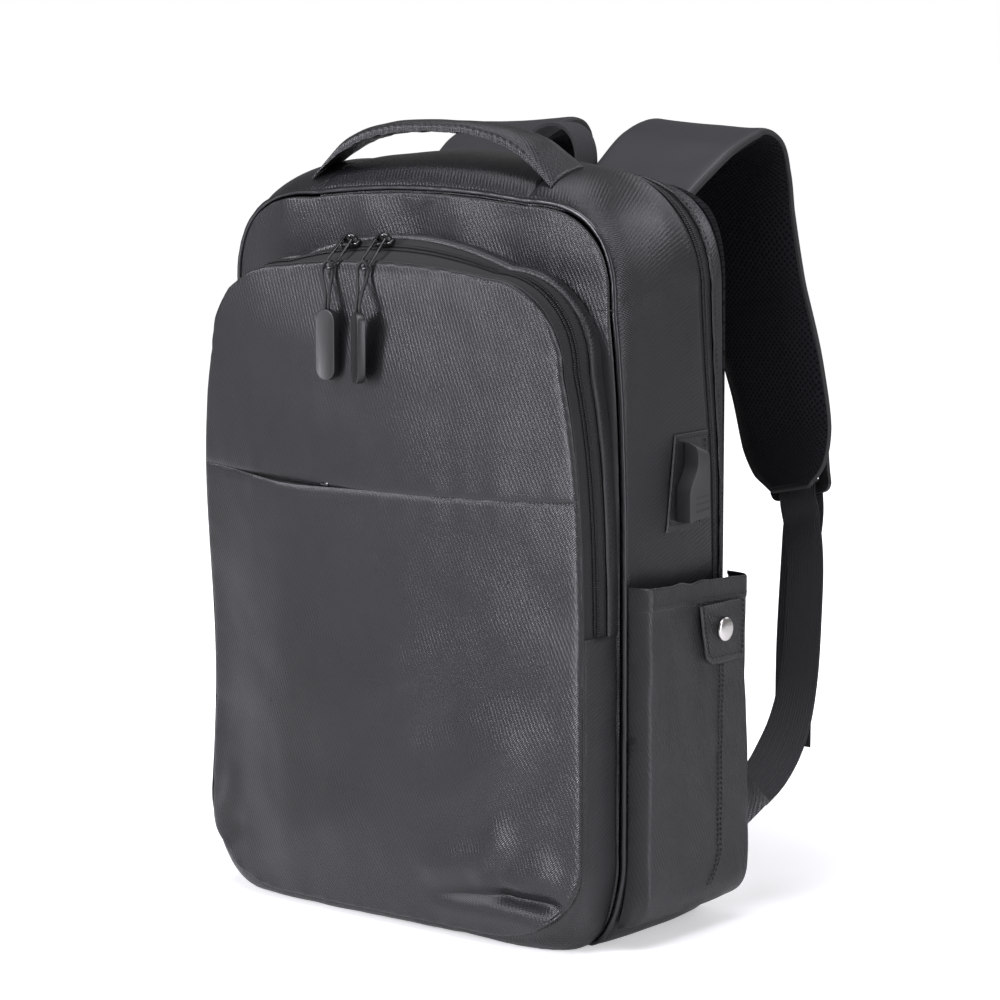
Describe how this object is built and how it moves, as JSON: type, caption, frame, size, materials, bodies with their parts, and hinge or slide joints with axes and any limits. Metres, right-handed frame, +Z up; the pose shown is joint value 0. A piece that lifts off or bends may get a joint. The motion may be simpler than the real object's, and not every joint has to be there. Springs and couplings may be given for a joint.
{
  "type": "backpack",
  "caption": "Slim upright faux leather backpack with an arched front pocket, open side pockets, a side charging port, a top handle and two padded shoulder straps.",
  "frame": {"origin": "on the floor, at the middle of the flat base between the two side walls", "axes": "+Z up; the front pocket faces -Y; the back panel and the shoulder straps face +Y; the side with the charging port faces +X"},
  "size_m": [0.3334, 0.2762, 0.4657],
  "materials": {
    "faux_leather": "satin, fine diagonal twill grain",
    "strap_leather": "satin, nearly smooth",
    "zip_cloth": "matt woven tape and nylon coil",
    "mesh_cloth": "matt knitted spacer mesh over foam",
    "webbing_cloth": "matt ribbed webbing",
    "black_plastic": "satin",
    "black_metal": "glossy black",
    "pale_metal": "polished, pale",
    "port_rubber": "satin"
  },
  "bodies": {
    "root": {"main_front_panel": "faux_leather", "top_panel": "faux_leather", "rear_gusset": "faux_leather", "side_gusset_right": "faux_leather", "side_gusset_left": "faux_leather", "side_lower_right": "faux_leather", "side_lower_left": "faux_leather", "base_panel": "faux_leather", "front_piping": "faux_leather", "pocket_panel_lower": "faux_leather", "pocket_panel_upper": "faux_leather", "pocket_gusset": "faux_leather", "pocket_arch_strip": "faux_leather", "side_pocket_right": "faux_leather", "side_pocket_left": "faux_leather", "side_pocket_hem_right": "faux_leather", "side_pocket_hem_left": "faux_leather", "pocket_tab_right": "faux_leather", "usb_patch": "faux_leather", "handle": "faux_leather", "strap_wing_right": "faux_leather", "strap_wing_left": "faux_leather", "strap_cover_right": "strap_leather", "strap_cover_left": "strap_leather", "main_zip_tape": "zip_cloth", "main_zip_coil": "zip_cloth", "pocket_slit_tape": "zip_cloth", "front_zip_tape": "zip_cloth", "front_zip_coil": "zip_cloth", "back_panel": "mesh_cloth", "strap_pad_right": "mesh_cloth", "strap_pad_left": "mesh_cloth", "haul_loop": "webbing_cloth", "strap_end_loop_right": "webbing_cloth", "strap_end_loop_left": "webbing_cloth", "strap_webbing_right": "webbing_cloth", "strap_webbing_left": "webbing_cloth", "adjuster_right": "black_plastic", "adjuster_left": "black_plastic", "pull_cord_a": "black_plastic", "pull_cord_b": "black_plastic", "pull_tab_a": "black_plastic", "pull_tab_b": "black_plastic", "pocket_slit_slider": "black_metal", "zip_slider_a": "black_metal", "zip_slider_b": "black_metal", "tab_snap_right": "pale_metal", "usb_hood": "port_rubber"}
  },
  "joints": []
}
